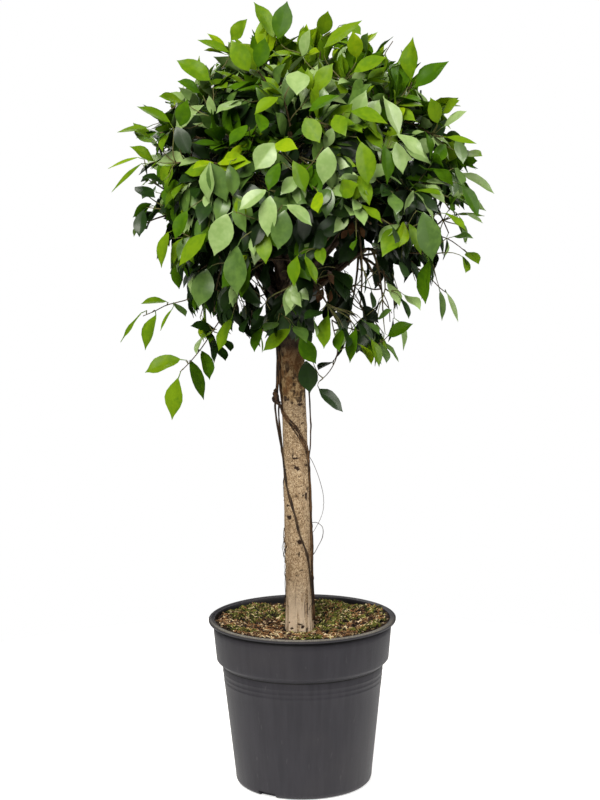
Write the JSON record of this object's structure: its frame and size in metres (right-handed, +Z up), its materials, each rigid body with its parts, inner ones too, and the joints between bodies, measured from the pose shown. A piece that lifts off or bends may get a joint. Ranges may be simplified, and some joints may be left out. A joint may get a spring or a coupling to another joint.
{
  "type": "potted ficus standard",
  "caption": "Ball-headed ficus standard with one bare trunk and thin aerial roots, growing in a round tapered nursery pot filled with peat.",
  "frame": {"origin": "centre of the pot's flat underside, at floor level", "axes": "+X to the right of the plant as pictured, -Y towards its front, +Z up along the trunk"},
  "size_m": [0.7146, 0.6678, 1.4014],
  "materials": {
    "pot_plastic": "moulded dark grey plastic, satin, faintly ribbed",
    "peat": "moist peat with fibres, bark chips and moss",
    "bark": "pale beige bark with dark specks, scars and fine upright ridges",
    "root_bark": "thin brown aerial roots, matt",
    "bough_bark": "grey-brown young bark",
    "leaf": "glossy green leaves, the youngest yellow-green"
  },
  "bodies": {
    "root": {"pot": "pot_plastic", "potting_soil": "peat", "trunk": "bark", "aerial_root_wrapping": "root_bark", "aerial_root_crossing": "root_bark", "aerial_root_straight": "root_bark", "bough_top": "bough_bark", "bough_upper_1": "bough_bark", "bough_upper_2": "bough_bark", "bough_upper_3": "bough_bark", "bough_upper_4": "bough_bark", "bough_upper_5": "bough_bark", "bough_middle_1": "bough_bark", "bough_middle_2": "bough_bark", "bough_middle_3": "bough_bark", "bough_middle_4": "bough_bark", "bough_middle_5": "bough_bark", "bough_middle_6": "bough_bark", "bough_lower_1": "bough_bark", "bough_lower_2": "bough_bark", "bough_lower_3": "bough_bark", "bough_lower_4": "bough_bark", "bough_lower_5": "bough_bark", "bough_lower_6": "bough_bark", "foliage_top": "leaf", "foliage_upper_1": "leaf", "foliage_upper_2": "leaf", "foliage_upper_3": "leaf", "foliage_upper_4": "leaf", "foliage_upper_5": "leaf", "foliage_middle_1": "leaf", "foliage_middle_2": "leaf", "foliage_middle_3": "leaf", "foliage_middle_4": "leaf", "foliage_middle_5": "leaf", "foliage_middle_6": "leaf", "foliage_lower_1": "leaf", "foliage_lower_2": "leaf", "foliage_lower_3": "leaf", "foliage_lower_4": "leaf", "foliage_lower_5": "leaf", "foliage_lower_6": "leaf"}
  },
  "joints": []
}
